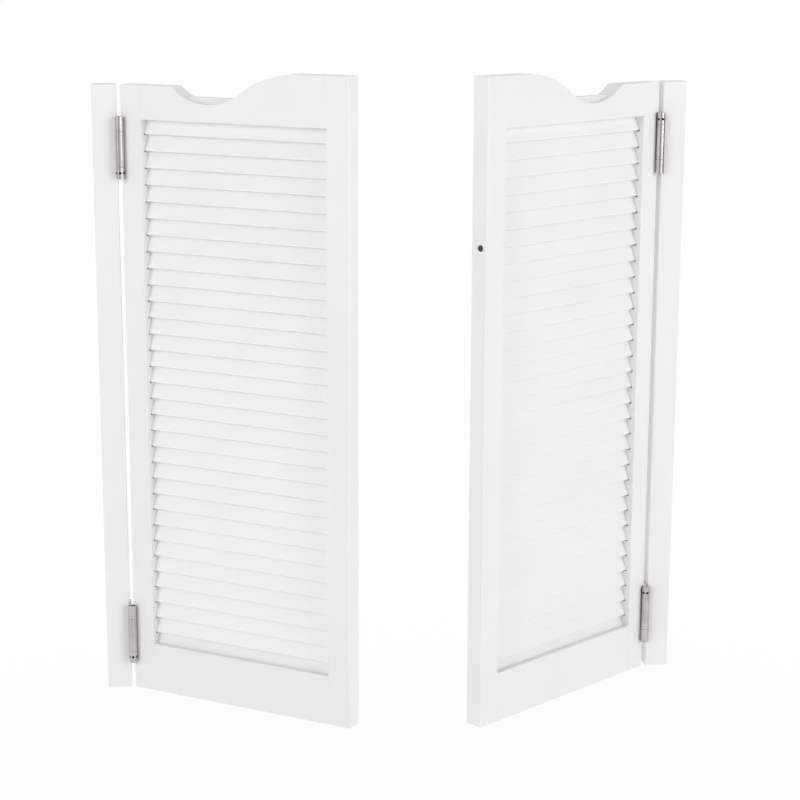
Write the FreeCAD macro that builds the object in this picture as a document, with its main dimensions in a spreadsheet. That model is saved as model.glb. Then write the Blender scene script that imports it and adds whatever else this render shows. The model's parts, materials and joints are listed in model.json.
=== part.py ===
import FreeCAD, Part
import math
import os

import Sketcher

# Pair of louvred cafe doors on double-action spring hinges, hung between two slim posts.
#
# Frame: the origin is the centre of the left post's wall face. +X runs along the doorway to the
# right post, +Y goes to the back of the doorway and +Z is up. Millimetres.
#
# Both doors stand open to the front, turned about their front hinge barrels.
# A "side" is +1 for the left half, whose door reaches to +X, and -1 for the right half.

doc = FreeCAD.newDocument("CafeDoors")
V = FreeCAD.Vector
UP = V(0, 0, 1)

# ---------------------------------------------------------------------------------- dimensions

# The driving sizes: each is set by itself.
SIZES = {
    # doorway and posts
    "doorway_width": 910,  # clear width between the two posts
    "post_width": 40,  # along the doorway
    "open_left": 34,  # degrees by which the left door stands open to the front
    "open_right": 37.5,  # degrees by which the right door stands open to the front
    # door leaf
    "door_width": 422,  # hinge edge to meeting edge
    "timber_thickness": 32,  # doors and posts
    "hinge_side_height": 1034,  # posts, and doors at the hinge side
    "stile_width": 40,
    "bottom_rail_height": 84,
    "top_rail_height": 55,  # at the hinge side
    "edge_round": 2,  # long outer edges
    # outline of the top rail: a shoulder, a scoop and a crest
    "shoulder_length": 98,  # level stretch at the hinge side, from the hinge edge
    "scoop_depth": 27,  # below the shoulder
    "scoop_radius": 102,
    "crest_height": 26,  # above the shoulder
    "crest_length": 52,  # level stretch of the crest, up to the meeting stile
    # frame joints
    "tenon_length": 22,
    "tenon_thickness": 10,
    "tenon_shoulder": 16,  # rail edge to tenon
    "groove_shoulder": 20,  # top of the bottom rail to its tenon, below the slat groove
    "tenon_clearance": 0.2,  # round a tenon and at its end
    # louvres
    "slat_count": 33,
    "slat_width": 36.5,  # lower edge to upper edge
    "slat_thickness": 6,
    "slat_tilt": 22.8,  # degrees from the vertical
    "slat_setback": 8.7,  # lower edge of a slat behind the front of the door
    "first_slat_lap": 8.2,  # lower edge of the lowest slat below the top of the bottom rail
    "top_slat_reveal": 23.2,  # lower edge of the top slat below the top rail
    "slot_depth": 6,
    "slot_clearance": 0.15,  # between a slat and its slot
    "slot_overrun": 2,  # slot longer than the slat at its lower edge
    # hinges
    "hinge_height": 102,  # whole barrel
    "lower_hinge_foot": 48,  # foot of the post to the lower hinge
    "upper_hinge_drop": 51,  # top of the post to the upper hinge
    "barrel_radius": 7,
    "barrel_clearance": 0.4,  # between a barrel and the face of the timber
    "barrel_joint_gap": 0.3,  # between collar, tube and knuckle
    "collar_height": 19.5,
    "collar_chamfer": 0.7,
    "knuckle_height": 23.5,
    "plate_thickness": 2.4,  # leaves and web plate
    "plate_gap": 0.35,  # between a leaf and the web plate when the door is shut
    "leaf_height": 100,
    "post_leaf_width": 30,
    "edge_gap": 1.3,  # between post and door when the door is shut
    "leaf_cut_clearance": 0.5,  # above and below the hinge in the hinge stile's cut-out
    "spindle_radius": 3,
    "running_clearance": 0.05,  # radial
    # rubber bumper in the right door's meeting edge
    "bumper_height": 794,  # above the foot of the door
    "bumper_from_front": 12.5,  # behind the front of the door
    "bumper_radius": 5,
    "bumper_stand_off": 1.6,  # head outside the timber
    "bumper_ease": 0.8,  # chamfer round the head
    "bumper_stem_radius": 3.2,
    "bumper_stem_length": 9,
}

# What follows from them. A height is above the foot of the door, a depth is behind its front.
FORMULAS = {
    # frame
    "meeting_side_height": "=hinge_side_height + crest_height",
    "louvre_top": "=hinge_side_height - top_rail_height",
    "opening_width": "=door_width - 2 * stile_width",
    "door_less_stile": "=door_width - stile_width",
    "timber_middle": "=timber_thickness / 2",
    # tenons and their mortises
    "tenon_end": "=opening_width + tenon_length",
    "low_tenon_foot": "=tenon_shoulder",
    "low_tenon_top": "=bottom_rail_height - groove_shoulder",
    "high_tenon_foot": "=louvre_top + tenon_shoulder",
    "high_tenon_top": "=hinge_side_height - tenon_shoulder",
    "mortise_depth": "=tenon_length + tenon_clearance",
    "mortise_front": "=(timber_thickness - tenon_thickness) / 2 - tenon_clearance",
    "mortise_back": "=(timber_thickness + tenon_thickness) / 2 + tenon_clearance",
    "low_mortise_foot": "=low_tenon_foot - tenon_clearance",
    "low_mortise_top": "=low_tenon_top + tenon_clearance",
    "high_mortise_foot": "=high_tenon_foot - tenon_clearance",
    "high_mortise_top": "=high_tenon_top + tenon_clearance",
    # outline of the top rail, measured along it from the hinge stile
    "scoop_centre_height": "=hinge_side_height - scoop_depth + scoop_radius",
    "shoulder_reach": "=shoulder_length - stile_width",
    "shoulder_drop": "=scoop_radius - scoop_depth",
    "scoop_half_width": "=sqrt(scoop_radius * scoop_radius - shoulder_drop * shoulder_drop)",
    "scoop_centre_reach": "=shoulder_reach + scoop_half_width",
    "crest_reach": "=opening_width - crest_length",
    "crest_run": "=crest_reach - scoop_centre_reach",
    "crest_drop": "=shoulder_drop - crest_height",
    # the crest's arc is tangent to the scoop's arc and to the level stretch
    "crest_slope": "=crest_run * crest_run + crest_drop * crest_drop",
    "crest_radius": "=(crest_slope - scoop_radius * scoop_radius) / (2 * (scoop_radius - crest_drop))",
    # slats and their slots
    "first_slat_height": "=bottom_rail_height - first_slat_lap",
    "top_slat_height": "=louvre_top - top_slat_reveal",
    "slat_pitch": "=(top_slat_height - first_slat_height) / (slat_count - 1)",
    "slats_per_group": "=floor(slat_count / 3)",
    "upper_group_count": "=slat_count - 1 - 2 * slats_per_group",
    "middle_group_start": "=first_slat_height + slats_per_group * slat_pitch",
    "upper_group_start": "=middle_group_start + slats_per_group * slat_pitch",
    "slot_seat": "=slot_depth - slot_clearance",
    "slat_length": "=opening_width + 2 * slot_seat",
    "slot_width": "=slat_width + slot_overrun + slot_clearance",
    "slot_thickness": "=slat_thickness + 2 * slot_clearance",
    "slot_lean": "=slot_overrun * sin(slat_tilt) + slot_clearance * cos(slat_tilt)",
    "slot_front": "=slat_setback - slot_lean",
    "slot_drop": "=slot_overrun * cos(slat_tilt) - slot_clearance * sin(slat_tilt)",
    "slot_height": "=first_slat_height - slot_drop",
    "top_slat_cut": "=louvre_top - slot_clearance",
    "cut_reach": "=top_slat_cut + slat_width",
    # groove in the bottom rail, which takes the lower edge of the lowest slat
    "slat_corner_height": "=first_slat_height - slat_thickness * sin(slat_tilt)",
    "groove_foot": "=slat_corner_height - slot_clearance",
    "groove_front": "=slat_setback - slot_clearance",
    "groove_slant": "=slat_thickness / cos(slat_tilt) + first_slat_lap * tan(slat_tilt)",
    "groove_back": "=slat_setback + groove_slant + slot_clearance",
    # hinge, measured from its middle and from the plane of its two axes
    "hinge_half": "=hinge_height / 2",
    "axis_offset": "=timber_middle + barrel_radius + barrel_clearance",
    "leaf_inset": "=plate_thickness / 2 + plate_gap",
    "axis_to_post": "=leaf_inset + plate_thickness",
    "axis_to_edge": "=axis_to_post - edge_gap",
    "collar_face_radius": "=barrel_radius - collar_chamfer",
    "collar_rim": "=hinge_half - collar_chamfer",
    "collar_top": "=hinge_half - collar_height",
    "knuckle_foot": "=hinge_half - knuckle_height",
    "tube_foot": "=barrel_joint_gap - collar_top",
    "tube_height": "=knuckle_foot - barrel_joint_gap - tube_foot",
    "web_height": "=tube_height + barrel_joint_gap + collar_height",
    "spindle_bore": "=spindle_radius + running_clearance",
    "spindle_length": "=hinge_height - collar_chamfer",
    # hinges on the door, and their cut-outs in the hinge stile
    "lower_hinge_mid": "=lower_hinge_foot + hinge_half",
    "upper_hinge_mid": "=hinge_side_height - upper_hinge_drop - hinge_half",
    "leaf_cut_floor": "=stile_width - axis_to_post - axis_to_edge",
    "leaf_cut_reach": "=hinge_half + leaf_cut_clearance",
    "lower_cut_foot": "=lower_hinge_mid - leaf_cut_reach",
    "lower_cut_top": "=lower_hinge_mid + leaf_cut_reach",
    "upper_cut_foot": "=upper_hinge_mid - leaf_cut_reach",
    "upper_cut_top": "=upper_hinge_mid + leaf_cut_reach",
    # bumper
    "bumper_hole_radius": "=bumper_stem_radius + running_clearance",
    "bumper_hole_depth": "=bumper_stem_length + slot_clearance",
}

sheet = doc.addObject("Spreadsheet::Sheet", "Sizes")
for row, (name, value) in enumerate([*SIZES.items(), *FORMULAS.items()], 1):
    sheet.set("A%d" % row, name)
    sheet.set("B%d" % row, str(value))
    sheet.setAlias("B%d" % row, name)
doc.recompute()


def num(term):
    """The number behind a term: an alias, an alias with a minus sign, or 0."""
    if term == "0":
        return 0.0
    if term.startswith("-"):
        return -float(sheet.get(term[1:]))
    return float(sheet.get(term))


def formula(term):
    """The same term as an expression on the sheet."""
    if term == "0":
        return "0"
    if term.startswith("-"):
        return "-Sizes." + term[1:]
    return "Sizes." + term


def signed(side, alias):
    return alias if side > 0 else "-" + alias


# ---------------------------------------------------------------------------------- sketch tools

ROOT_POINT = (-1, 1)


def new_body(name):
    body = doc.addObject("PartDesign::Body", name)
    body.Label = name
    return body


def new_sketch(body, name, role, offset=None):
    """A sketch on one of the body's own origin planes, moved along its normal by a sheet term."""
    sketch = body.newObject("Sketcher::SketchObject", name)
    plane = next(f for f in body.Origin.OriginFeatures if f.Role == role)
    sketch.AttachmentSupport = [(plane, "")]
    sketch.MapMode = "FlatFace"
    if offset:
        sketch.setExpression("AttachmentOffset.Base.z", formula(offset))
    return sketch


def place(sketch, geometry, point, across, up):
    """Fix a point of the sketch at two signed sheet terms from its root point."""
    for kind, term in (("DistanceX", across), ("DistanceY", up)):
        if term == "0":
            axis = -2 if kind == "DistanceX" else -1
            sketch.addConstraint(Sketcher.Constraint("PointOnObject", geometry, point, axis))
            continue
        index = sketch.addConstraint(
            Sketcher.Constraint(kind, *ROOT_POINT, geometry, point, num(term))
        )
        sketch.setExpression("Constraints[%d]" % index, formula(term))


def bind_length(sketch, line, term):
    index = sketch.addConstraint(Sketcher.Constraint("Distance", line, num(term)))
    sketch.setExpression("Constraints[%d]" % index, formula(term))


def join_loop(sketch, lines):
    for here, after in zip(lines, lines[1:] + lines[:1]):
        sketch.addConstraint(Sketcher.Constraint("Coincident", here, 2, after, 1))


def rectangle(sketch, left, right, low, high):
    """A level rectangle between four signed sheet terms."""
    x0, x1, y0, y1 = num(left), num(right), num(low), num(high)
    corners = [V(x0, y0, 0), V(x1, y0, 0), V(x1, y1, 0), V(x0, y1, 0)]
    lines = [
        sketch.addGeometry(Part.LineSegment(a, b), False)
        for a, b in zip(corners, corners[1:] + corners[:1])
    ]
    join_loop(sketch, lines)
    for line in (lines[0], lines[2]):
        sketch.addConstraint(Sketcher.Constraint("Horizontal", line))
    for line in (lines[1], lines[3]):
        sketch.addConstraint(Sketcher.Constraint("Vertical", line))
    place(sketch, lines[0], 1, left, low)
    place(sketch, lines[2], 1, right, high)


def tilted_rectangle(sketch, across, up, width, thickness):
    """A slat's section: its lower front corner is placed, and it leans back by the slat tilt."""
    tilt = math.radians(num("slat_tilt"))
    along = V(math.sin(tilt), math.cos(tilt), 0) * num(width)
    through = V(math.cos(tilt), -math.sin(tilt), 0) * num(thickness)
    start = V(num(across), num(up), 0)
    corners = [start, start + through, start + through + along, start + along]
    lines = [
        sketch.addGeometry(Part.LineSegment(a, b), False)
        for a, b in zip(corners, corners[1:] + corners[:1])
    ]
    join_loop(sketch, lines)
    for here, after in zip(lines[:3], lines[1:]):
        sketch.addConstraint(Sketcher.Constraint("Perpendicular", here, after))
    bind_length(sketch, lines[0], thickness)
    bind_length(sketch, lines[1], width)
    lean = sketch.addConstraint(Sketcher.Constraint("Angle", lines[1], math.pi / 2 - tilt))
    sketch.setExpression("Constraints[%d]" % lean, "(90 - Sizes.slat_tilt) * 1deg")
    place(sketch, lines[0], 1, across, up)


def pad(body, sketch, name, term, reverse=False, midplane=False):
    feature = body.newObject("PartDesign::Pad", name)
    feature.Profile = sketch
    feature.setExpression("Length", formula(term))
    feature.Reversed = reverse
    if midplane:
        feature.SideType = "Symmetric"
    sketch.Visibility = False
    doc.recompute()
    return feature


def pocket(body, sketch, name, term=None, reverse=False):
    """Cut to a sheet term, or right through where there is none. It must remove material."""
    before = body.Shape.Volume
    feature = body.newObject("PartDesign::Pocket", name)
    feature.Profile = sketch
    feature.Reversed = reverse
    if term:
        feature.setExpression("Length", formula(term))
    else:
        feature.Type = "ThroughAll"
    doc.recompute()
    if not body.Shape.Volume < before - 1e-3:
        raise RuntimeError("%s cuts nothing" % name)
    return feature


def repeat(body, feature, name, axis_role, count, spacing):
    """Repeat a feature in a row: count and spacing are numbers, or expressions on the sheet."""
    pattern = body.newObject("PartDesign::LinearPattern", name)
    pattern.Originals = [feature]
    axis = next(f for f in body.Origin.OriginFeatures if f.Role == axis_role)
    pattern.Direction = (axis, [""])
    pattern.Mode = "Spacing"
    pattern.setExpression("Offset", spacing)
    pattern.setExpression("Occurrences", count)
    body.Tip = pattern
    doc.recompute()
    return pattern


def upright_edges(shape, x):
    """Names of the upright edges that stand at this x."""
    found = []
    for index, edge in enumerate(shape.Edges, 1):
        ends = [v.Point for v in edge.Vertexes]
        if len(ends) != 2 or abs(ends[0].z - ends[1].z) < 1:
            continue
        if all(abs(end.x - x) < 1e-3 for end in ends) and abs(ends[0].y - ends[1].y) < 1e-3:
            found.append("Edge%d" % index)
    return found


def round_edges(body, feature, name, edges):
    fillet = body.newObject("PartDesign::Fillet", name)
    fillet.Base = (feature, edges)
    fillet.setExpression("Radius", "Sizes.edge_round")
    doc.recompute()
    return fillet


# ---------------------------------------------------------------------------------- primitives


def bind(thing, bindings):
    for prop, expression in bindings.items():
        thing.setExpression(prop, expression)


def cylinder(name, radius, height, y, z):
    """An upright cylinder on a barrel axis of a hinge."""
    thing = doc.addObject("Part::Cylinder", name)
    bind(
        thing,
        {"Radius": radius, "Height": height, "Placement.Base.y": y, "Placement.Base.z": z},
    )
    return thing


def box(name, x, y, z, length, width, height):
    thing = doc.addObject("Part::Box", name)
    bind(
        thing,
        {
            "Placement.Base.x": x,
            "Placement.Base.y": y,
            "Placement.Base.z": z,
            "Length": length,
            "Width": width,
            "Height": height,
        },
    )
    return thing


def fuse(name, things):
    thing = doc.addObject("Part::MultiFuse", name)
    thing.Shapes = things
    return thing


def cut(name, base, tool):
    thing = doc.addObject("Part::Cut", name)
    thing.Base = base
    thing.Tool = tool
    return thing


def compound(name, things):
    thing = doc.addObject("Part::Compound", name)
    thing.Links = things
    return thing


# ---------------------------------------------------------------------------------- where things sit

nodes = []


def node(thing, name, placement):
    """Register a finished piece under its own name and set it in its place."""
    doc.recompute()
    thing.Label = name
    thing.Placement = placement
    nodes.append(thing)


FOOT = -num("hinge_side_height") / 2
MID_THICKNESS = num("timber_thickness") / 2
AXIS_OFFSET = num("axis_offset")


def side_name(side):
    return "left" if side > 0 else "right"


def axis_x(side):
    """Both barrel axes of a shut hinge, along the doorway."""
    left = num("post_width") + num("axis_to_post")
    if side > 0:
        return left
    return 2 * num("post_width") + num("doorway_width") - left


def opened(side):
    """The turn about the front barrel that brings a shut door to where it stands."""
    angle = -num("open_left") if side > 0 else num("open_right")
    centre = V(axis_x(side), -AXIS_OFFSET, 0)
    return FreeCAD.Placement(V(0, 0, 0), FreeCAD.Rotation(UP, angle), centre)


def post_place(side):
    inner_face = axis_x(side) - side * num("axis_to_post")
    return FreeCAD.Placement(V(inner_face, -MID_THICKNESS, FOOT), FreeCAD.Rotation())


def door_place(side, reach):
    """Place of a piece whose own x = 0 lies this far from the door's hinge edge."""
    start = axis_x(side) + side * (reach - num("axis_to_edge"))
    shut = FreeCAD.Placement(V(start, -MID_THICKNESS, FOOT), FreeCAD.Rotation())
    return opened(side) * shut


def hinge_place(side, level):
    """A shut hinge. The same hinge serves the right side, turned over about the Y axis."""
    turn = FreeCAD.Rotation(V(0, 1, 0), 0 if side > 0 else 180)
    return FreeCAD.Placement(V(axis_x(side), 0, FOOT + num(level)), turn)


# ---------------------------------------------------------------------------------- timber


def make_post(side):
    name = side_name(side) + "_post"
    body = new_body(name)
    outer = signed(-side, "post_width")
    section = new_sketch(body, name + "_section", "XY_Plane")
    rectangle(section, *sorted(("0", outer), key=num), "0", "timber_thickness")
    length = pad(body, section, name + "_length", "hinge_side_height")
    edges = upright_edges(length.Shape, num(outer)) + upright_edges(length.Shape, 0)
    round_edges(body, length, name + "_eased", edges)
    node(body, name, post_place(side))


def make_stile(side, name, height, outward, hinged):
    """A stile with its x = 0 on the face that takes the rails and slats, reaching outwards."""
    body = new_body(name)
    outer = signed(outward, "stile_width")
    section = new_sketch(body, name + "_section", "XY_Plane")
    rectangle(section, *sorted(("0", outer), key=num), "0", "timber_thickness")
    length = pad(body, section, name + "_length", height)
    round_edges(body, length, name + "_eased", upright_edges(length.Shape, num(outer)))

    into = outward < 0
    mortises = new_sketch(body, name + "_mortises_at", "YZ_Plane")
    for foot, top in (("low_mortise_foot", "low_mortise_top"), ("high_mortise_foot", "high_mortise_top")):
        rectangle(mortises, "mortise_front", "mortise_back", foot, top)
    pocket(body, mortises, name + "_mortises", "mortise_depth", reverse=not into)

    if hinged:
        cut_outs = new_sketch(body, name + "_hinge_cuts_at", "XZ_Plane")
        for level in ("lower", "upper"):
            rectangle(
                cut_outs,
                *sorted((outer, signed(outward, "leaf_cut_floor")), key=num),
                level + "_cut_foot",
                level + "_cut_top",
            )
        pocket(body, cut_outs, name + "_hinge_cuts")

    slot_at = new_sketch(body, name + "_slot_at", "YZ_Plane")
    tilted_rectangle(slot_at, "slot_front", "slot_height", "slot_width", "slot_thickness")
    slot = pocket(body, slot_at, name + "_slot", "slot_depth", reverse=not into)
    repeat(body, slot, name + "_slots", "Z_Axis", "Sizes.slat_count", "Sizes.slat_pitch")

    if not hinged and side < 0:
        drill_for_bumper(body, name)

    reach = "stile_width" if hinged else "door_less_stile"
    node(body, name, door_place(side, num(reach)))


def add_tenons(body, name, side, foot, top):
    """One tongue along the rail's middle plane, which stands out at both ends."""
    sketch = new_sketch(body, name + "_tenons_at", "XZ_Plane", "-timber_middle")
    ends = (signed(-side, "tenon_length"), signed(side, "tenon_end"))
    rectangle(sketch, *sorted(ends, key=num), foot, top)
    pad(body, sketch, name + "_tenons", "tenon_thickness", midplane=True)


def make_bottom_rail(side):
    name = side_name(side) + "_bottom_rail"
    body = new_body(name)
    outline = new_sketch(body, name + "_outline", "XZ_Plane")
    far = signed(side, "opening_width")
    rectangle(outline, *sorted(("0", far), key=num), "0", "bottom_rail_height")
    pad(body, outline, name + "_block", "timber_thickness", reverse=True)
    groove = new_sketch(body, name + "_groove_at", "YZ_Plane")
    rectangle(groove, "groove_front", "groove_back", "groove_foot", "bottom_rail_height")
    pocket(body, groove, name + "_groove", reverse=side > 0)
    add_tenons(body, name, side, "low_tenon_foot", "low_tenon_top")
    node(body, name, door_place(side, num("stile_width")))


def make_top_rail(side):
    """The rail that carries the outline: shoulder, scoop, crest, all in one sketch."""
    name = side_name(side) + "_top_rail"
    body = new_body(name)
    outline = new_sketch(body, name + "_outline", "XZ_Plane")
    low, high = num("louvre_top"), num("meeting_side_height")
    shoulder = V(side * num("shoulder_reach"), num("hinge_side_height"), 0)
    end = V(side * num("opening_width"), high, 0)
    scoop_centre = V(side * num("scoop_centre_reach"), num("scoop_centre_height"), 0)
    crest_centre = V(side * num("crest_reach"), high - num("crest_radius"), 0)
    crest_top = V(crest_centre.x, high, 0)
    towards = (crest_centre - scoop_centre).normalize()
    meeting = scoop_centre + towards * num("scoop_radius")

    def angle_of(centre, point):
        return math.atan2(point.y - centre.y, point.x - centre.x)

    def arc(centre, radius, first, second):
        """Counter-clockwise between two points, whichever of them comes first."""
        if side < 0:
            first, second = second, first
        circle = Part.Circle(centre, UP, radius)
        return Part.ArcOfCircle(circle, angle_of(centre, first), angle_of(centre, second))

    scoop_ends = (1, 2) if side > 0 else (2, 1)
    crest_ends = (2, 1) if side > 0 else (1, 2)
    foot = sketch_line(outline, V(0, low, 0), V(end.x, low, 0))
    meeting_end = sketch_line(outline, V(end.x, low, 0), end)
    level = sketch_line(outline, end, crest_top)
    crest = outline.addGeometry(
        arc(crest_centre, num("crest_radius"), crest_top, meeting), False
    )
    scoop = outline.addGeometry(arc(scoop_centre, num("scoop_radius"), shoulder, meeting), False)
    flat = sketch_line(outline, shoulder, V(0, shoulder.y, 0))
    hinge_end = sketch_line(outline, V(0, shoulder.y, 0), V(0, low, 0))

    def tie(first, first_end, second, second_end, kind="Coincident"):
        outline.addConstraint(
            Sketcher.Constraint(kind, first, first_end, second, second_end)
        )

    tie(foot, 2, meeting_end, 1)
    tie(meeting_end, 2, level, 1)
    tie(flat, 2, hinge_end, 1)
    tie(hinge_end, 2, foot, 1)
    tie(level, 2, crest, crest_ends[1], "Tangent")
    tie(crest, crest_ends[0], scoop, scoop_ends[1], "Tangent")
    tie(scoop, scoop_ends[0], flat, 1)
    for line in (foot, level, flat):
        outline.addConstraint(Sketcher.Constraint("Horizontal", line))
    for line in (meeting_end, hinge_end):
        outline.addConstraint(Sketcher.Constraint("Vertical", line))
    place(outline, foot, 1, "0", "louvre_top")
    place(outline, meeting_end, 2, signed(side, "opening_width"), "meeting_side_height")
    place(outline, flat, 1, signed(side, "shoulder_reach"), "hinge_side_height")
    place(outline, scoop, 3, signed(side, "scoop_centre_reach"), "scoop_centre_height")
    bind_radius = outline.addConstraint(
        Sketcher.Constraint("Radius", crest, num("crest_radius"))
    )
    outline.setExpression("Constraints[%d]" % bind_radius, "Sizes.crest_radius")
    pad(body, outline, name + "_block", "timber_thickness", reverse=True)
    add_tenons(body, name, side, "high_tenon_foot", "high_tenon_top")
    node(body, name, door_place(side, num("stile_width")))


def sketch_line(sketch, start, end):
    return sketch.addGeometry(Part.LineSegment(start, end), False)


def make_slats(side, name, start, count):
    """A row of slats in their slots, from one sketched slat."""
    body = new_body(name)
    section = new_sketch(body, name + "_section", "YZ_Plane", signed(-side, "slot_seat"))
    tilted_rectangle(section, "slat_setback", start, "slat_width", "slat_thickness")
    slat = pad(body, section, name + "_slat", "slat_length", reverse=side < 0)
    if count:
        repeat(body, slat, name + "_row", "Z_Axis", "Sizes." + count, "Sizes.slat_pitch")
    else:
        level = new_sketch(body, name + "_cut_at", "YZ_Plane", signed(-side, "slot_seat"))
        rectangle(level, "0", "timber_thickness", "top_slat_cut", "cut_reach")
        pocket(body, level, name + "_cut", reverse=side > 0)
    node(body, name, door_place(side, num("stile_width")))


def drill_for_bumper(stile, name):
    """A blind hole in the meeting edge of the right door."""
    sketch = new_sketch(stile, name + "_bumper_hole_at", "YZ_Plane", "-stile_width")
    circle(sketch, "bumper_from_front", "bumper_height", "bumper_hole_radius")
    pocket(stile, sketch, name + "_bumper_hole", "bumper_hole_depth", reverse=True)


def circle(sketch, across, up, radius):
    shape = Part.Circle(V(num(across), num(up), 0), UP, num(radius))
    index = sketch.addGeometry(shape, False)
    place(sketch, index, 3, across, up)
    bound = sketch.addConstraint(Sketcher.Constraint("Radius", index, num(radius)))
    sketch.setExpression("Constraints[%d]" % bound, formula(radius))


def make_bumper():
    """Rubber plug: a round head on a stem, in the meeting edge of the right door."""
    body = new_body("right_bumper")
    stem_at = new_sketch(body, "bumper_stem_at", "YZ_Plane")
    circle(stem_at, "bumper_from_front", "bumper_height", "bumper_stem_radius")
    pad(body, stem_at, "bumper_stem", "bumper_stem_length")
    head_at = new_sketch(body, "bumper_head_at", "YZ_Plane")
    circle(head_at, "bumper_from_front", "bumper_height", "bumper_radius")
    head = pad(body, head_at, "bumper_head", "bumper_stand_off", reverse=True)
    outer = num("bumper_stand_off")
    rim = [
        "Edge%d" % index
        for index, edge in enumerate(head.Shape.Edges, 1)
        if abs(edge.CenterOfMass.x + outer) < 1e-3 and len(edge.Vertexes) == 1
    ]
    eased = body.newObject("PartDesign::Chamfer", "bumper_eased")
    eased.Base = (head, rim)
    eased.setExpression("Size", "Sizes.bumper_ease")
    doc.recompute()
    node(body, "right_bumper", door_place(-1, num("door_width")))


# ---------------------------------------------------------------------------------- hinges
#
# Each hinge is drawn shut, about its own middle: both barrel axes at x = 0, the front one at
# y = -axis_offset and the rear one at y = +axis_offset, the door towards +X. Seen from the top
# a barrel is the leaf's knuckle, the spring tube of the web plate, and the tension collar.

FRONT = "-Sizes.axis_offset"
REAR = "Sizes.axis_offset"
HINGE_FOOT = "-Sizes.hinge_half"


def make_leaf(name, front, placement):
    """Leaf plate, knuckle and spindle. The front barrel is the post's, the rear one the door's."""
    axis = FRONT if front else REAR
    if front:
        plate_x = "-Sizes.axis_to_post"
        plate_width = "Sizes.post_leaf_width"
        tab_y = FRONT
    else:
        plate_x = "Sizes.leaf_inset"
        plate_width = "Sizes.timber_thickness"
        tab_y = "Sizes.timber_middle"
    plate = box(
        name + "_plate",
        plate_x,
        "-Sizes.timber_middle",
        "-Sizes.leaf_height / 2",
        "Sizes.plate_thickness",
        plate_width,
        "Sizes.leaf_height",
    )
    tab = box(
        name + "_tab",
        plate_x,
        tab_y,
        "Sizes.knuckle_foot",
        "Sizes.plate_thickness",
        "Sizes.axis_offset - Sizes.timber_middle",
        "Sizes.leaf_height / 2 - Sizes.knuckle_foot",
    )
    knuckle = cylinder(
        name + "_knuckle", "Sizes.barrel_radius", "Sizes.knuckle_height", axis, "Sizes.knuckle_foot"
    )
    foot = "Sizes.collar_chamfer - Sizes.hinge_half"
    spindle = cylinder(
        name + "_spindle", "Sizes.spindle_radius", "Sizes.spindle_length", axis, foot
    )
    node(fuse(name, [plate, tab, knuckle, spindle]), name, placement)


def make_web(name, placement):
    """Web plate with a spring tube on each edge. The plate stops short of the knuckles."""
    tubes = []
    bores = []
    for end, axis in (("front", FRONT), ("rear", REAR)):
        tube = "%s_%s_tube" % (name, end)
        tubes.append(
            cylinder(tube, "Sizes.barrel_radius", "Sizes.tube_height", axis, "Sizes.tube_foot")
        )
        bore = "%s_%s_bore" % (name, end)
        bores.append(cylinder(bore, "Sizes.spindle_bore", "Sizes.hinge_height", axis, HINGE_FOOT))
    plate = box(
        name + "_plate",
        "-Sizes.plate_thickness / 2",
        FRONT,
        "Sizes.tube_foot",
        "Sizes.plate_thickness",
        "2 * Sizes.axis_offset",
        "Sizes.tube_height",
    )
    apron = box(
        name + "_apron",
        "-Sizes.plate_thickness / 2",
        "-Sizes.timber_middle",
        HINGE_FOOT,
        "Sizes.plate_thickness",
        "Sizes.timber_thickness",
        "Sizes.web_height",
    )
    solid = fuse(name + "_solid", tubes + [plate, apron])
    node(cut(name, solid, fuse(name + "_bores", bores)), name, placement)


def make_collar(name, axis):
    """Tension collar: a turned ring at the end of the spring tube."""
    body = new_body(name)
    profile = new_sketch(body, name + "_profile", "XZ_Plane")
    corners = (
        ("spindle_bore", "-hinge_half"),
        ("collar_face_radius", "-hinge_half"),
        ("barrel_radius", "-collar_rim"),
        ("barrel_radius", "-collar_top"),
        ("spindle_bore", "-collar_top"),
    )
    points = [V(num(across), num(up), 0) for across, up in corners]
    lines = [
        sketch_line(profile, start, end) for start, end in zip(points, points[1:] + points[:1])
    ]
    join_loop(profile, lines)
    for line, (across, up) in zip(lines, corners):
        place(profile, line, 1, across, up)
    ring = body.newObject("PartDesign::Revolution", name + "_ring")
    ring.Profile = profile
    ring.ReferenceAxis = (profile, ["V_Axis"])
    ring.Angle = 360
    body.setExpression("Placement.Base.y", axis)
    doc.recompute()
    return body


def make_hinges(side):
    prefix = side_name(side) + "_"
    turned = opened(side)
    for level in ("lower", "upper"):
        shut = hinge_place(side, level + "_hinge_mid")
        make_leaf(prefix + "post_leaf_" + level, True, shut)
        make_web(prefix + "web_plate_" + level, turned * shut)
        make_leaf(prefix + "door_leaf_" + level, False, turned * shut)
        collars = [
            make_collar("%scollar_%s_%s" % (prefix, level, end), axis)
            for end, axis in (("front", FRONT), ("rear", REAR))
        ]
        name = prefix + "collars_" + level
        node(compound(name, collars), name, turned * shut)


# ---------------------------------------------------------------------------------- build

for side in (1, -1):
    prefix = side_name(side) + "_"
    make_post(side)
    make_stile(side, prefix + "hinge_stile", "hinge_side_height", -side, True)
    make_stile(side, prefix + "meeting_stile", "meeting_side_height", side, False)
    make_bottom_rail(side)
    make_top_rail(side)
    make_slats(side, prefix + "slats_lower", "first_slat_height", "slats_per_group")
    make_slats(side, prefix + "slats_middle", "middle_group_start", "slats_per_group")
    make_slats(side, prefix + "slats_upper", "upper_group_start", "upper_group_count")
    make_slats(side, prefix + "top_slat", "top_slat_height", None)
    make_hinges(side)
make_bumper()

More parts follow.
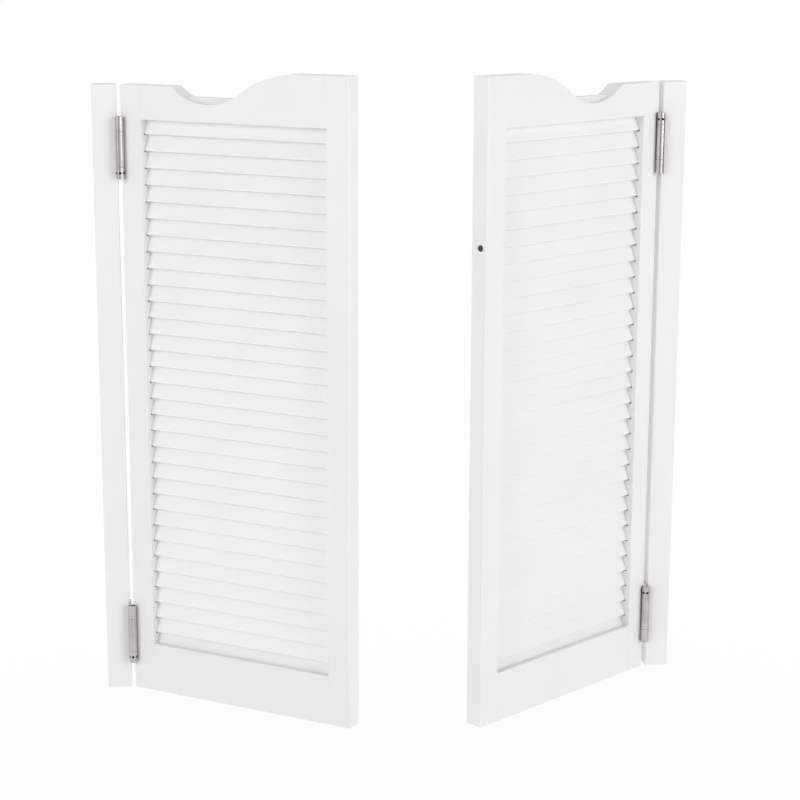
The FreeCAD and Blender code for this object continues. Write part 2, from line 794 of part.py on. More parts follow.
doc.recompute()
os.makedirs("parts", exist_ok=True)
for thing in doc.Objects:
    if "Invalid" in thing.State or "Error" in thing.State:
        raise RuntimeError("%s is %s" % (thing.Name, thing.State))
for thing in nodes:
    if thing.Shape.isNull() or not thing.Shape.isValid():
        raise RuntimeError("%s has no sound shape" % thing.Label)
for thing in nodes:
    thing.Shape.exportStep("parts/%s.step" % thing.Label)
    print(thing.Label, len(thing.Shape.Solids), round(thing.Shape.Volume))
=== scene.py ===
import json
import math

import bpy
from mathutils import Matrix, Vector


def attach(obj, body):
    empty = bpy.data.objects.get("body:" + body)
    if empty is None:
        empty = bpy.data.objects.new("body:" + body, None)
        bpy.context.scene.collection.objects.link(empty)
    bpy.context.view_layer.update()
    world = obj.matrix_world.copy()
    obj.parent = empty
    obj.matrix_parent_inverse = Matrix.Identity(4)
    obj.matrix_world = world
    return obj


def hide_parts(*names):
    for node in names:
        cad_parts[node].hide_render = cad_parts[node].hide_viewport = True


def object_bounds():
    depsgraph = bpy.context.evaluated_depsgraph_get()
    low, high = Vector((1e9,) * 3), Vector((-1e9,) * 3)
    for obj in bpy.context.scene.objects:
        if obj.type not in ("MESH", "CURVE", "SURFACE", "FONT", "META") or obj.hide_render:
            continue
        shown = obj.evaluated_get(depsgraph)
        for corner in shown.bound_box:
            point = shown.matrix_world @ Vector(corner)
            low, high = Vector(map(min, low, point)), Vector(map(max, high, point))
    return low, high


# Louvred cafe doors, dressed over their CAD model: painted timber, satin nickel spring hinges and
# a rubber bumper. Lengths are in metres, along the CAD model's axes: +X from the left post to the
# right one, +Y to the back, +Z up. The timber is copied from the CAD model where it stands. Slats,
# hinges and bumper are modelled with their door shut and then turned open with it, so that their
# sizes lie along the axes.

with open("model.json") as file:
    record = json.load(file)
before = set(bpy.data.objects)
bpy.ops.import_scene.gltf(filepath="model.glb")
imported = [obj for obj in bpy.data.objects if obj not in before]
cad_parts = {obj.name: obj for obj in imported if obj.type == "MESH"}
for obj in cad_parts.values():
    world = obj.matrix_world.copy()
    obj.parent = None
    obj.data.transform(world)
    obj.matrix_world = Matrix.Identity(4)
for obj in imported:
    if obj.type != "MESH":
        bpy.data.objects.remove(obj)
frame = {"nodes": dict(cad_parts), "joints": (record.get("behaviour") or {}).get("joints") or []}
cad_low, cad_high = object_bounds()
NODES = frame["nodes"]

SIDES = {"left": 1, "right": -1}
LEVELS = ("lower", "upper")
UPRIGHT = Vector((0, 0, 1))
SHARP_ANGLE = math.radians(35)
FACING = 0.9  # a face looks along an axis when its normal goes at least this far that way

# ---------------------------------------- places, from the frame


def joint_of(name):
    return next(joint for joint in frame["joints"] if joint["name"] == name)


def front_axis(side):
    return Vector(joint_of(side + "_front_barrel")["pos_m"])


def door_turn(side):
    """The turn about the front barrels from a shut door to where it stands open."""
    joint = joint_of(side + "_front_barrel")
    angle = -joint["springref"] * joint["axis"][2]
    centre = Matrix.Translation(front_axis(side))
    return centre @ Matrix.Rotation(angle, 4, "Z") @ centre.inverted()


def shut_box(node, side):
    """Lowest and highest corner of a node with its door shut."""
    back = door_turn(side).inverted()
    corners = [back @ vertex.co for vertex in NODES[node].data.vertices]
    low = Vector(min(corner[axis] for corner in corners) for axis in range(3))
    high = Vector(max(corner[axis] for corner in corners) for axis in range(3))
    return low, high


# ---------------------------------------- tools


def deselect():
    for thing in bpy.context.selected_objects:
        thing.select_set(False)


def take(thing):
    """Make this the only selected object."""
    deselect()
    thing.select_set(True)
    bpy.context.view_layer.objects.active = thing


def settle(thing, name):
    """Put the object's place into its mesh and name it."""
    take(thing)
    bpy.ops.object.transform_apply(location=True, rotation=True, scale=True)
    thing.name = name
    return thing


def new_block(name, low, high):
    """A block between two corners."""
    low, high = Vector(low), Vector(high)
    deselect()
    bpy.ops.mesh.primitive_cube_add(size=1, location=(low + high) / 2)
    block = bpy.context.object
    block.scale = high - low
    return settle(block, name)


def new_rod(name, radius, low, high, y, sides=48):
    """An upright rod from one height to another."""
    deselect()
    bpy.ops.mesh.primitive_cylinder_add(
        vertices=sides, radius=radius, depth=high - low, location=(0, y, (low + high) / 2)
    )
    return settle(bpy.context.object, name)


def start_edit(thing, kind, action):
    """Enter edit mode with all vertices, edges or faces selected, or none."""
    take(thing)
    bpy.ops.object.mode_set(mode="EDIT")
    bpy.ops.mesh.select_mode(type=kind)
    bpy.ops.mesh.select_all(action=action)


def leave_edit():
    bpy.ops.object.mode_set(mode="OBJECT")


def select_faces(thing, test):
    """Enter edit mode with only the faces selected that pass the test."""
    start_edit(thing, "FACE", "DESELECT")
    leave_edit()
    for face in thing.data.polygons:
        face.select = test(face)
    bpy.ops.object.mode_set(mode="EDIT")


def select_edges(thing, test):
    """Enter edit mode with only the edges selected whose two ends pass the test."""
    start_edit(thing, "EDGE", "DESELECT")
    leave_edit()
    points = thing.data.vertices
    for edge in thing.data.edges:
        start, end = (points[index].co for index in edge.vertices)
        edge.select = test(start, end)
    bpy.ops.object.mode_set(mode="EDIT")


def apply_modifier(thing, kind, **settings):
    take(thing)
    modifier = thing.modifiers.new(kind.title(), kind)
    for key, value in settings.items():
        setattr(modifier, key, value)
    bpy.ops.object.modifier_apply(modifier=modifier.name)


def ease(thing, width, segments=2):
    """Round every sharp edge."""
    apply_modifier(
        thing,
        "BEVEL",
        width=width,
        segments=segments,
        limit_method="ANGLE",
        angle_limit=SHARP_ANGLE,
    )


def smooth(thing):
    """Shade the rounds smooth and keep the flats between them flat."""
    take(thing)
    bpy.ops.object.shade_smooth_by_angle(angle=SHARP_ANGLE)
    apply_modifier(thing, "WEIGHTED_NORMAL", keep_sharp=True, weight=100)


def carve(thing, cutter, finish="INDEX"):
    """Take the cutter away from the thing, and delete the cutter.

    With the finish TRANSFER, the cut faces keep the cutter's material.
    """
    apply_modifier(
        thing,
        "BOOLEAN",
        operation="DIFFERENCE",
        solver="EXACT",
        material_mode=finish,
        object=cutter,
    )
    bpy.data.objects.remove(cutter)


def join(things, name):
    deselect()
    for thing in things:
        thing.select_set(True)
    bpy.context.view_layer.objects.active = things[0]
    bpy.ops.object.join()
    things[0].name = name
    return things[0]


def copy_of(thing, name):
    """A copy with its own mesh."""
    copy = bpy.data.objects.new(name, thing.data.copy())
    bpy.context.scene.collection.objects.link(copy)
    return copy


def coat(thing, material):
    """Give the whole piece one finish."""
    thing.data.materials.clear()
    thing.data.materials.append(material)


def fit(piece, body, node):
    """The piece takes the node's place on its body."""
    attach(piece, body)
    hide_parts(node)


# ---------------------------------------- shader nodes


def feed(tree, node, values):
    """Give each input in the table a plain value or another node's output."""
    for key, value in values.items():
        if isinstance(value, bpy.types.NodeSocket):
            tree.links.new(value, node.inputs[key])
        else:
            node.inputs[key].default_value = value


def add_node(tree, kind, values, **settings):
    """A new node with its settings and inputs."""
    node = tree.nodes.new(kind)
    for key, setting in settings.items():
        setattr(node, key, setting)
    feed(tree, node, values)
    return node


def new_material(name):
    """A material, its node tree and its shader."""
    material = bpy.data.materials.new(name)
    material.use_nodes = True
    return material, material.node_tree, material.node_tree.nodes["Principled BSDF"]


def object_place(tree):
    """Each point's place in the object's own frame."""
    return tree.nodes.new("ShaderNodeTexCoord").outputs["Object"]


def stretched(tree, place, stretch, turn=0.0):
    """The place, turned back with the door and stretched along each axis."""
    values = {"Vector": place, "Rotation": (0, 0, turn), "Scale": stretch}
    return add_node(tree, "ShaderNodeMapping", values, vector_type="TEXTURE").outputs["Vector"]


def noise(tree, place, scale, detail):
    """Noise with about this many patches to a metre."""
    values = {"Vector": place, "Scale": scale, "Detail": detail}
    return add_node(tree, "ShaderNodeTexNoise", values).outputs["Fac"]


def ramp(tree, factor, shades, low, high):
    """The first shade up to low, the second one from high on, and a blend between them."""
    colours = add_node(tree, "ShaderNodeValToRGB", {"Fac": factor})
    for stop, position, shade in zip(colours.color_ramp.elements, (low, high), shades):
        stop.position = position
        stop.color = (*shade, 1)
    return colours.outputs["Color"]


def spread(tree, factor, low, high, start=0.0, end=1.0):
    """The factor, from start to end, as a value between low and high."""
    values = {"Value": factor, "From Min": start, "From Max": end, "To Min": low, "To Max": high}
    return add_node(tree, "ShaderNodeMapRange", values).outputs["Result"]


def calculate(tree, operation, first, second):
    """One sum on two values."""
    values = {0: first, 1: second}
    return add_node(tree, "ShaderNodeMath", values, operation=operation).outputs["Value"]


def blend(tree, share, first, second):
    """The first shader, with a share of the second."""
    values = {"Fac": share, 1: first, 2: second}
    return add_node(tree, "ShaderNodeMixShader", values).outputs["Shader"]


def bump(tree, height, distance, strength, under=None):
    """A raised surface, on top of another one if that is given."""
    values = {"Height": height, "Distance": distance, "Strength": strength}
    if under:
        values["Normal"] = under
    return add_node(tree, "ShaderNodeBump", values).outputs["Normal"]


# ---------------------------------------- materials
#
# Each finish has a darker shade and a lighter one.

FRAME_PAINT = ((0.85, 0.847, 0.84), (0.868, 0.865, 0.859))
# The slats' white is a lighter copy of the frame's: painted light, standing in for the light that
# their upward-facing fronts catch.
SLAT_PAINT_WITH_PAINTED_LIGHT = ((0.888, 0.885, 0.878), (0.905, 0.902, 0.896))
NICKEL = ((0.53, 0.505, 0.485), (0.61, 0.585, 0.565))
RUBBER = ((0.02, 0.02, 0.022), (0.05, 0.05, 0.052))
# Near-black painted shade for the walls and floors of the spanner holes.
HOLE_SHADE = ((0.009, 0.008, 0.007), (0.02, 0.018, 0.016))
PAINT_SHINE = 0.4
GRAIN_ALONG_Z = (1, 1, 30)
GRAIN_ALONG_X = (30, 1, 1)
FINE_RINGS = (1, 1, 0.06)


def white_paint(name, shades, grain, turn=0.0):
    """Satin paint with a finely uneven skin, and wood grain showing faintly through it."""
    material, tree, shader = new_material(name)
    place = object_place(tree)
    fibres = noise(tree, stretched(tree, place, grain, turn), scale=900, detail=4)
    clouds = noise(tree, place, scale=9, detail=2)
    skin = noise(tree, place, scale=1400, detail=2)
    raised = bump(tree, fibres, distance=0.00005, strength=0.3)
    finish = {
        "Base Color": ramp(tree, clouds, shades, low=0.3, high=0.7),
        "Roughness": spread(tree, fibres, low=0.38, high=0.48),
        "Normal": bump(tree, skin, distance=0.00003, strength=0.2, under=raised),
        "Specular IOR Level": PAINT_SHINE,
    }
    feed(tree, shader, finish)
    return material


def satin_nickel():
    """Plated steel with fine rings round the barrels, a little duller and browner in patches."""
    material, tree, shader = new_material("satin_nickel")
    place = object_place(tree)
    scratches = noise(tree, stretched(tree, place, FINE_RINGS), scale=900, detail=4)
    clouds = noise(tree, place, scale=45, detail=2)
    finish = {
        "Metallic": 1.0,
        "Base Color": ramp(tree, clouds, NICKEL, low=0.35, high=0.65),
        "Roughness": spread(tree, scratches, low=0.14, high=0.25),
        "Normal": bump(tree, scratches, distance=0.00002, strength=0.3),
    }
    feed(tree, shader, finish)
    return material


def black_rubber():
    material, tree, shader = new_material("matt_black_rubber")
    bloom = noise(tree, object_place(tree), scale=700, detail=3)
    finish = {
        "Base Color": ramp(tree, bloom, RUBBER, low=0.3, high=0.75),
        "Roughness": spread(tree, bloom, low=0.45, high=0.7),
        "Normal": bump(tree, bloom, distance=0.00003, strength=0.4),
    }
    feed(tree, shader, finish)
    return material


def painted_hole_shade():
    """Near-black lining of the spanner holes, with faint specks: painted shade, where the holes go
    deep.
    """
    material, tree, shader = new_material("painted_hole_shade")
    shade_specks = noise(tree, object_place(tree), scale=1200, detail=2)
    finish = {
        "Base Color": ramp(tree, shade_specks, HOLE_SHADE, low=0.3, high=0.7),
        "Roughness": spread(tree, shade_specks, low=0.5, high=0.75),
    }
    feed(tree, shader, finish)
    return material


upright_paint = white_paint("upright_timber_paint", FRAME_PAINT, GRAIN_ALONG_Z)
rail_paint = {}
slat_paint_with_painted_light = {}
for side in SIDES:
    angle = door_turn(side).to_euler().z
    rail_paint[side] = white_paint(side + "_rail_paint", FRAME_PAINT, GRAIN_ALONG_X, angle)
    # The slats get the lighter white, which paints on them the light that they catch facing up.
    slat_paint_with_painted_light[side] = white_paint(side + "_slat_paint", SLAT_PAINT_WITH_PAINTED_LIGHT, GRAIN_ALONG_X, angle)
nickel = satin_nickel()
hole_shade_lining = painted_hole_shade()
rubber = black_rubber()

# ---------------------------------------- timber

TIMBER_EASE = 0.0004
SAME_POINT = 0.00001
SAME_PLANE = math.radians(0.5)


def eased_timber(node, body, material):
    """A timber part with its machined edges rubbed down."""
    piece = copy_of(NODES[node], node + "_painted")
    start_edit(piece, "VERT", "SELECT")
    bpy.ops.mesh.remove_doubles(threshold=SAME_POINT)
    bpy.ops.mesh.dissolve_limited(angle_limit=SAME_PLANE)
    leave_edit()
    ease(piece, TIMBER_EASE)
    smooth(piece)
    coat(piece, material)
    fit(piece, body, node)


for side in SIDES:
    door = side + "_door"
    eased_timber(side + "_post", "posts", upright_paint)
    eased_timber(side + "_hinge_stile", door, upright_paint)
    eased_timber(side + "_meeting_stile", door, upright_paint)
    eased_timber(side + "_top_rail", door, rail_paint[side])
    eased_timber(side + "_bottom_rail", door, rail_paint[side])

# ---------------------------------------- slats

SLAT_WIDTH = 0.0365
SLAT_THICKNESS = 0.006
SLAT_TILT = math.radians(22.8)
SLAT_ROUND = 0.0016
SLATS_IN = {"lower": 11, "middle": 11, "upper": 10}


def new_slat(side, low, high):
    """One slat of the door's louvres, at the foot of the box, with its long edges rounded."""
    slat = new_block(side + "_slat", (low.x, 0, 0), (high.x, SLAT_THICKNESS, SLAT_WIDTH))
    select_edges(slat, lambda start, end: abs(start.x - end.x) > SLAT_WIDTH)
    bpy.ops.mesh.bevel(offset=SLAT_ROUND, segments=4, profile=0.5)
    leave_edit()
    lean = Matrix.Rotation(-SLAT_TILT, 4, "X")
    foot = Vector((0, low.y, low.z + SLAT_THICKNESS * math.sin(SLAT_TILT)))
    slat.data.transform(Matrix.Translation(foot) @ lean)
    return slat


def hang_slats(slats, side, node):
    """Turn the slats open with their door and paint them."""
    slats.data.transform(door_turn(side))
    smooth(slats)
    coat(slats, slat_paint_with_painted_light[side])
    fit(slats, side + "_door", node)


def dress_slats(side):
    """Copy one slat up the door, and cut the slat itself to size as the top one."""
    nodes = [side + "_slats_" + part for part in SLATS_IN]
    low, high = shut_box(nodes[0], side)
    next_low = shut_box(nodes[1], side)[0]
    pitch = (next_low.z - low.z) / SLATS_IN["lower"]
    pattern = new_slat(side, low, high)
    for node, count in zip(nodes, SLATS_IN.values()):
        start = shut_box(node, side)[0].z - low.z
        row = []
        for index in range(count):
            slat = copy_of(pattern, "%s_%d" % (node, index))
            slat.data.transform(Matrix.Translation(UPRIGHT * (start + index * pitch)))
            row.append(slat)
        hang_slats(join(row, node + "_painted"), side, node)
    top = side + "_top_slat"
    top_low, top_high = shut_box(top, side)
    pattern.name = top + "_painted"
    pattern.data.transform(Matrix.Translation(UPRIGHT * (top_low.z - low.z)))
    start_edit(pattern, "EDGE", "SELECT")
    bpy.ops.mesh.bisect(plane_co=top_high, plane_no=UPRIGHT, clear_outer=True, use_fill=True)
    leave_edit()
    hang_slats(pattern, side, top)


for side in SIDES:
    dress_slats(side)

# ---------------------------------------- hinges
#
# A hinge is modelled once, shut, about its own middle: front barrel at -BARREL_Y, rear barrel at
# +BARREL_Y, door towards +X, knuckles on top. Copies of its pieces go to the four places, and
# the right side's are turned over about the Y axis.

BARREL_Y = -front_axis("left").y

# Radii.
BARREL = 0.007
SPINDLE = 0.003
SPINDLE_RING = SPINDLE / 3
BORE = 0.0031
RECESS = 0.0054
TUBE_ROOM = BARREL * 0.9
HOLE = 0.0022

# Heights above the middle of the hinge.
HINGE_HALF = 0.051
LEAF_HALF = 0.050
KNUCKLE_FOOT = 0.0275
TUBE_TOP = 0.0272
TUBE_FOOT = -0.0312
COLLAR_TOP = -0.0315
HOLE_LEVEL = -0.0405
SPINDLE_END = -0.0503

# Plates: half the timber's thickness, the post leaf's width, and the gap beside the web plate.
TIMBER_HALF = 0.016
POST_LEAF = 0.030
PLATE = 0.0024
PLATE_GAP = 0.00035
LEAF_NEAR = PLATE / 2 + PLATE_GAP

# Details of the barrels.
RECESS_DEPTH = 0.005
SPINDLE_RISE = 0.0008
RIM_EASE = 0.0004
HOLES = 6
HOLE_DEPTH = 0.0037
PAST_THE_ENDS = 1.1

# Screws: their heads' size, and for each one in a leaf its height and its place aside.
SCREW_HEAD = 0.0038
SCREW_HOLE = 0.0041
SINK_DEPTH = PLATE * 1.02
SINK_MIDDLE = LEAF_NEAR + PLATE / 2
HEAD_DEPTH = PLATE * 0.92
HEAD_MIDDLE = LEAF_NEAR + PLATE * 0.54
HEAD_EASE = 0.0001
CROSS_ARM = SCREW_HEAD * 0.62
CROSS_BLADE = SCREW_HEAD * 0.13
CROSS_DEPTH = PLATE * 0.5
SCREWS = ((-0.032, -0.004), (0, 0.006), (0.032, -0.004))


def open_rod(name, low, high, y):
    """A rod bored through for the spindle."""
    rod = new_rod(name, BARREL, low, high, y)
    select_faces(rod, lambda face: abs(face.normal.z) > FACING)
    bpy.ops.mesh.inset(thickness=BARREL - BORE)
    bpy.ops.mesh.bridge_edge_loops()
    leave_edit()
    ease(rod, RIM_EASE, segments=3)
    return rod


def new_knuckle(name, y):
    """Plain end of a barrel: a shallow recess on top shows the end of the spindle."""
    knuckle = new_rod(name, BARREL, KNUCKLE_FOOT, HINGE_HALF, y)
    select_faces(knuckle, lambda face: face.normal.z > FACING)
    bpy.ops.mesh.inset(thickness=BARREL - RECESS)
    bpy.ops.mesh.extrude_region_move(TRANSFORM_OT_translate={"value": (0, 0, -RECESS_DEPTH)})
    bpy.ops.mesh.inset(thickness=RECESS - SPINDLE)
    bpy.ops.mesh.extrude_region_move(TRANSFORM_OT_translate={"value": (0, 0, SPINDLE_RISE)})
    bpy.ops.mesh.inset(thickness=SPINDLE_RING)
    leave_edit()
    ease(knuckle, RIM_EASE, segments=3)
    return knuckle


def new_cone(name, radius, depth, place, sign):
    """A cone for a countersunk screw, wide end towards the web plate."""
    deselect()
    bpy.ops.mesh.primitive_cone_add(
        vertices=32,
        radius1=radius,
        radius2=radius / 2,
        depth=depth,
        location=place,
        rotation=(0, sign * math.pi / 2, 0),
    )
    return settle(bpy.context.object, name)


def new_screw(name, sign, y, height):
    """Countersunk screw head with a cross recess."""
    head = new_cone(name, SCREW_HEAD, HEAD_DEPTH, (sign * HEAD_MIDDLE, y, height), sign)
    middle = Vector((sign * LEAF_NEAR, y, height))
    for arms in ((CROSS_BLADE, CROSS_ARM), (CROSS_ARM, CROSS_BLADE)):
        reach = Vector((CROSS_DEPTH, *arms))
        carve(head, new_block(name + "_cross", middle - reach, middle + reach))
    ease(head, HEAD_EASE)
    return head


def new_leaf(name, front):
    """Leaf plate with its knuckle, spindle and screws."""
    sign = -1 if front else 1
    axis = sign * BARREL_Y
    low_x, high_x = sorted((sign * LEAF_NEAR, sign * (LEAF_NEAR + PLATE)))
    back = POST_LEAF - TIMBER_HALF if front else TIMBER_HALF
    middle_y = (back - TIMBER_HALF) / 2
    plate = new_block(name, (low_x, -TIMBER_HALF, -LEAF_HALF), (high_x, back, LEAF_HALF))
    ease(plate, RIM_EASE)
    screws = []
    for number, (height, aside) in enumerate(SCREWS):
        y = middle_y + aside
        sink = (sign * SINK_MIDDLE, y, height)
        carve(plate, new_cone(name + "_sink", SCREW_HOLE, SINK_DEPTH, sink, sign))
        screws.append(new_screw("%s_screw_%d" % (name, number), sign, y, height))
    tab_low, tab_high = sorted((axis, sign * TIMBER_HALF))
    tab = new_block(name + "_tab", (low_x, tab_low, KNUCKLE_FOOT), (high_x, tab_high, LEAF_HALF))
    ease(tab, RIM_EASE)
    knuckle = new_knuckle(name + "_knuckle", axis)
    spindle = new_rod(name + "_spindle", SPINDLE, SPINDLE_END, KNUCKLE_FOOT, axis, sides=32)
    ease(spindle, RIM_EASE, segments=3)
    return join([plate, tab, knuckle, spindle, *screws], name)


def new_web(name):
    """Web plate between its two spring tubes."""
    half = PLATE / 2
    room_foot = TUBE_FOOT * PAST_THE_ENDS
    room_top = TUBE_TOP * PAST_THE_ENDS
    plate = new_block(name, (-half, -BARREL_Y, TUBE_FOOT), (half, BARREL_Y, TUBE_TOP))
    tubes = []
    for y in (-BARREL_Y, BARREL_Y):
        carve(plate, new_rod(name + "_room", TUBE_ROOM, room_foot, room_top, y))
        tubes.append(open_rod(name + "_tube", TUBE_FOOT, TUBE_TOP, y))
    apron = new_block(
        name + "_apron", (-half, -TIMBER_HALF, -HINGE_HALF), (half, TIMBER_HALF, TUBE_FOOT)
    )
    ease(apron, RIM_EASE / 2)
    return join([plate, apron, *tubes], name)


def new_collar(name, y):
    """Tension collar: a ring with spanner holes round it, lined with near-black painted shade."""
    collar = open_rod(name, -HINGE_HALF, COLLAR_TOP, y)
    drills = []
    for index in range(HOLES):
        around = Matrix.Rotation(2 * math.pi * index / HOLES, 4, "Z")
        deselect()
        bpy.ops.mesh.primitive_cylinder_add(
            vertices=24, radius=HOLE, depth=2 * HOLE_DEPTH, rotation=(0, math.pi / 2, 0)
        )
        drill = settle(bpy.context.object, "%s_drill_%d" % (name, index))
        drill.data.transform(around @ Matrix.Translation((BARREL, 0, HOLE_LEVEL)))
        drill.data.transform(Matrix.Translation((0, y, 0)))
        drills.append(drill)
    bores = join(drills, name + "_drills")
    coat(collar, nickel)
    # The drills carry the near-black painted shade onto the walls of the holes that they cut.
    coat(bores, hole_shade_lining)
    carve(collar, bores, finish="TRANSFER")
    return collar


def hinge_places():
    """Each hinge's side, level and the place of its middle, shut."""
    for side, sign in SIDES.items():
        for level in LEVELS:
            low, high = shut_box("%s_door_leaf_%s" % (side, level), side)
            middle = (high.z + low.z + sign * (LEAF_HALF - HINGE_HALF)) / 2
            spot = Matrix.Translation((front_axis(side).x, 0, middle))
            if sign < 0:
                spot = spot @ Matrix.Rotation(math.pi, 4, "Y")
            yield side, level, spot


post_leaf = new_leaf("post_leaf", front=True)
door_leaf = new_leaf("door_leaf", front=False)
web_plate = new_web("web_plate")
for pattern in (post_leaf, door_leaf, web_plate):
    coat(pattern, nickel)
front_collar = new_collar("front_collar", -BARREL_Y)
rear_collar = new_collar("rear_collar", BARREL_Y)
collars = join([front_collar, rear_collar], "collars")

for side, level, spot in hinge_places():
    turned = door_turn(side) @ spot
    hinge_set = (
        (post_leaf, "posts", spot),
        (web_plate, side + "_hinge_link", turned),
        (collars, side + "_hinge_link", turned),
        (door_leaf, side + "_door", turned),
    )
    for pattern, body, place in hinge_set:
        node = "%s_%s_%s" % (side, pattern.name, level)
        piece = copy_of(pattern, node + "_nickel")
        piece.data.transform(place)
        smooth(piece)
        fit(piece, body, node)
for pattern in (post_leaf, door_leaf, web_plate, collars):
    bpy.data.objects.remove(pattern)

# ---------------------------------------- bumper

BUMPER_EASE = 0.0007
BUMPER_RINGS = (0.35, 0.3)  # widths of the two rings on its face, as shares of its radius


def make_bumper():
    """Round rubber plug in the right door's meeting edge."""
    low, high = shut_box("right_bumper", "right")
    radius = (high.z - low.z) / 2
    deselect()
    bpy.ops.mesh.primitive_cylinder_add(
        vertices=40,
        radius=radius,
        depth=high.x - low.x,
        location=(low + high) / 2,
        rotation=(0, -math.pi / 2, 0),
    )
    plug = settle(bpy.context.object, "right_bumper_rubber")
    select_faces(plug, lambda face: face.normal.x < -FACING)
    for ring in BUMPER_RINGS:
        bpy.ops.mesh.inset(thickness=radius * ring)
    leave_edit()
    ease(plug, BUMPER_EASE, segments=4)
    plug.data.transform(door_turn("right"))
    smooth(plug)
    coat(plug, rubber)
    fit(plug, "right_door", "right_bumper")


make_bumper()

# ---------------------------------------- floor, light, camera

WHITE = (1, 1, 1, 1)
MIDDLE = Vector((0.5, -0.1, 0))

FLOOR_SIZE = 60
FLOOR_DROP = 0.32
FLOOR_FADE = 3.2
FLOOR_WHITE = 0.85
FLOOR_GREY = (0.9, 0.9, 0.9, 1)
FLOOR_ROUGHNESS = 0.9

# The studio's light on what doesn't shine, from straight in front and from straight behind.
AMBIENT_FRONT = 0.12
AMBIENT_BACK = 1.17

# What shines sees these panels instead: share of the way round, and brightness there. Below the
# horizon they fade to white, by BELOW_WHITE in all, between two slopes of the line of sight.
BELOW_WHITE = 0.85
HORIZON_TOP = -0.12
HORIZON_FOOT = -0.32
STUDIO_PANELS = (
    (0.0, 0.4),
    (0.06, 1.0),
    (0.11, 1.0),
    (0.16, 0.15),
    (0.21, 0.4),
    (0.27, 1.0),
    (0.33, 1.0),
    (0.42, 0.3),
    (0.5, 0.15),
    (0.62, 0.9),
    (0.85, 0.8),
    (1.0, 0.4),
)

LAMP_SIZE = 5
LAMPS = {  # place, and power in watts
    "left_lamp": ((-6.2, -6.2, 2.9), 330),
    "right_lamp": ((7.2, -5.9, 2.1), 343),
}

CAMERA_PLACE = Vector((0.0825, -3.3432, 0.7445))
CAMERA_HEADING = math.atan2(0.1264, 0.9920)
CAMERA_PITCH = math.radians(12.828)
CAMERA_ROLL = math.radians(0.2207)
FOCAL_PIXELS = 2014.0
IMAGE_PIXELS = 800
SENSOR_WIDTH = 36
CLIP_END = 200


def make_floor():
    """A pale floor that takes the shadow under the doors and fades to white further out.

    What shines looks through it, at the same panels that stand all round.
    """
    place = (MIDDLE.x, 0, cad_low.z - FLOOR_DROP)
    deselect()
    bpy.ops.mesh.primitive_plane_add(size=FLOOR_SIZE, location=place)
    floor = bpy.context.object
    floor.name = "floor"
    material, tree, shader = new_material("pale_floor")
    feed(tree, shader, {"Base Color": FLOOR_GREY, "Roughness": FLOOR_ROUGHNESS})
    centred = stretched(tree, object_place(tree), (FLOOR_FADE, FLOOR_FADE, FLOOR_FADE))
    near = add_node(
        tree, "ShaderNodeTexGradient", {"Vector": centred}, gradient_type="QUADRATIC_SPHERE"
    )
    white = spread(tree, near.outputs["Fac"], 1.0, FLOOR_WHITE)
    rays = tree.nodes.new("ShaderNodeLightPath").outputs
    share = calculate(tree, "MULTIPLY", rays["Is Camera Ray"], white)
    glow = add_node(tree, "ShaderNodeEmission", {"Color": WHITE, "Strength": 1.0})
    clear = tree.nodes.new("ShaderNodeBsdfTransparent")
    seen = blend(tree, share, shader.outputs["BSDF"], glow.outputs["Emission"])
    shine = blend(tree, rays["Is Glossy Ray"], seen, clear.outputs["BSDF"])
    feed(tree, tree.nodes["Material Output"], {"Surface": shine})
    coat(floor, material)


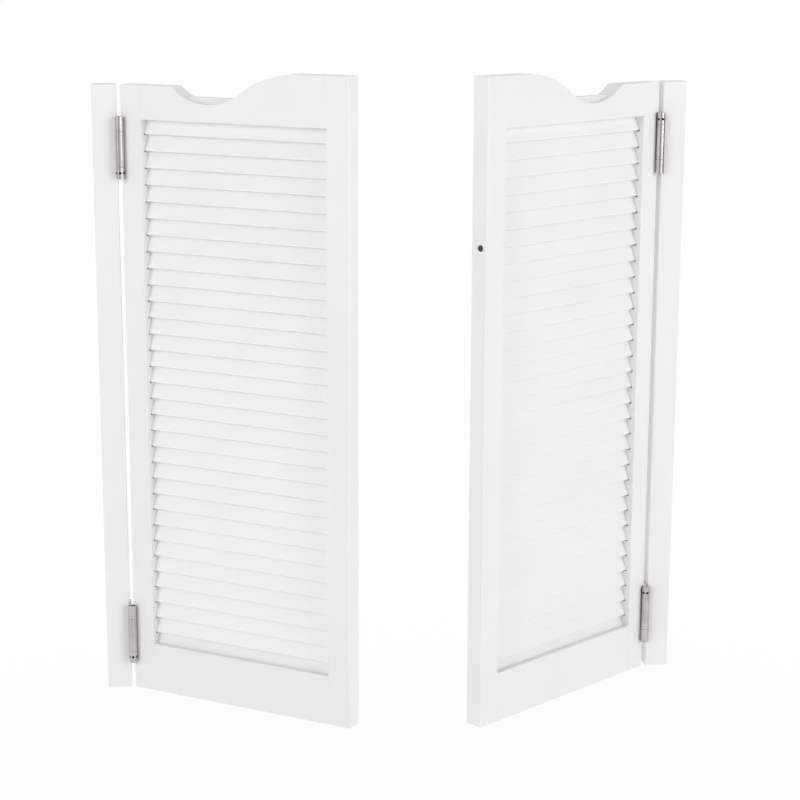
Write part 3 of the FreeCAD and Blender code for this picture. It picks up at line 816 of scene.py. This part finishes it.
def make_world():
    """White all round; what shines also sees the soft darker gaps between the studio's panels."""
    world = bpy.data.worlds.new("studio")
    bpy.context.scene.world = world
    world.use_nodes = True
    tree = world.node_tree
    place = tree.nodes.new("ShaderNodeTexCoord").outputs["Generated"]
    heading = add_node(tree, "ShaderNodeSeparateXYZ", {"Vector": place}).outputs
    around = add_node(tree, "ShaderNodeTexGradient", {"Vector": place}, gradient_type="RADIAL")
    panels = add_node(tree, "ShaderNodeValToRGB", {"Fac": around.outputs["Fac"]})
    stops = panels.color_ramp.elements
    for position, _ in STUDIO_PANELS[1:-1]:
        stops.new(position)
    for stop, (position, brightness) in zip(stops, STUDIO_PANELS):
        stop.position = position
        stop.color = (brightness, brightness, brightness, 1)
    rays = tree.nodes.new("ShaderNodeLightPath").outputs
    dull = calculate(tree, "SUBTRACT", 1.0, rays["Is Glossy Ray"])
    below = spread(tree, heading["Z"], 0.0, BELOW_WHITE, start=HORIZON_TOP, end=HORIZON_FOOT)
    white = calculate(tree, "MAXIMUM", dull, below)
    colours = {"Fac": white, "Color1": panels.outputs["Color"], "Color2": WHITE}
    colour = add_node(tree, "ShaderNodeMixRGB", colours).outputs["Color"]
    seen = calculate(tree, "MAXIMUM", rays["Is Camera Ray"], rays["Is Glossy Ray"])
    ambient = spread(tree, heading["Y"], AMBIENT_FRONT, AMBIENT_BACK, start=-1.0)
    strength = spread(tree, seen, ambient, 1.0)
    feed(tree, tree.nodes["Background"], {"Color": colour, "Strength": strength})


def make_lamp(name, place, power):
    """A square lamp that looks at the middle of the doors."""
    lamp = bpy.data.lights.new(name, "AREA")
    lamp.shape = "SQUARE"
    lamp.size = LAMP_SIZE
    lamp.energy = power
    holder = bpy.data.objects.new(name, lamp)
    holder.location = place
    aim = MIDDLE - Vector(place)
    holder.rotation_euler = aim.to_track_quat("-Z", "Y").to_euler()
    bpy.context.scene.collection.objects.link(holder)


def make_camera():
    """The camera stands in front of the left half and looks a little down."""
    forward = Vector((math.sin(CAMERA_HEADING), math.cos(CAMERA_HEADING), 0))
    ahead = math.cos(CAMERA_PITCH) * forward - math.sin(CAMERA_PITCH) * UPRIGHT
    level = Vector((math.cos(CAMERA_HEADING), -math.sin(CAMERA_HEADING), 0))
    up = level.cross(ahead)
    across = math.cos(CAMERA_ROLL) * level + math.sin(CAMERA_ROLL) * up
    upward = math.cos(CAMERA_ROLL) * up - math.sin(CAMERA_ROLL) * level
    columns = Matrix((across, upward, -ahead)).transposed()
    data = bpy.data.cameras.new("camera")
    data.sensor_width = SENSOR_WIDTH
    data.lens = SENSOR_WIDTH * FOCAL_PIXELS / IMAGE_PIXELS
    data.clip_end = CLIP_END
    camera = bpy.data.objects.new("camera", data)
    camera.matrix_world = Matrix.Translation(CAMERA_PLACE) @ columns.to_4x4()
    bpy.context.scene.collection.objects.link(camera)
    bpy.context.scene.camera = camera


make_floor()
make_world()
for name, (place, power) in LAMPS.items():
    make_lamp(name, place, power)
make_camera()

view = bpy.context.scene.view_settings
view.view_transform = "Standard"
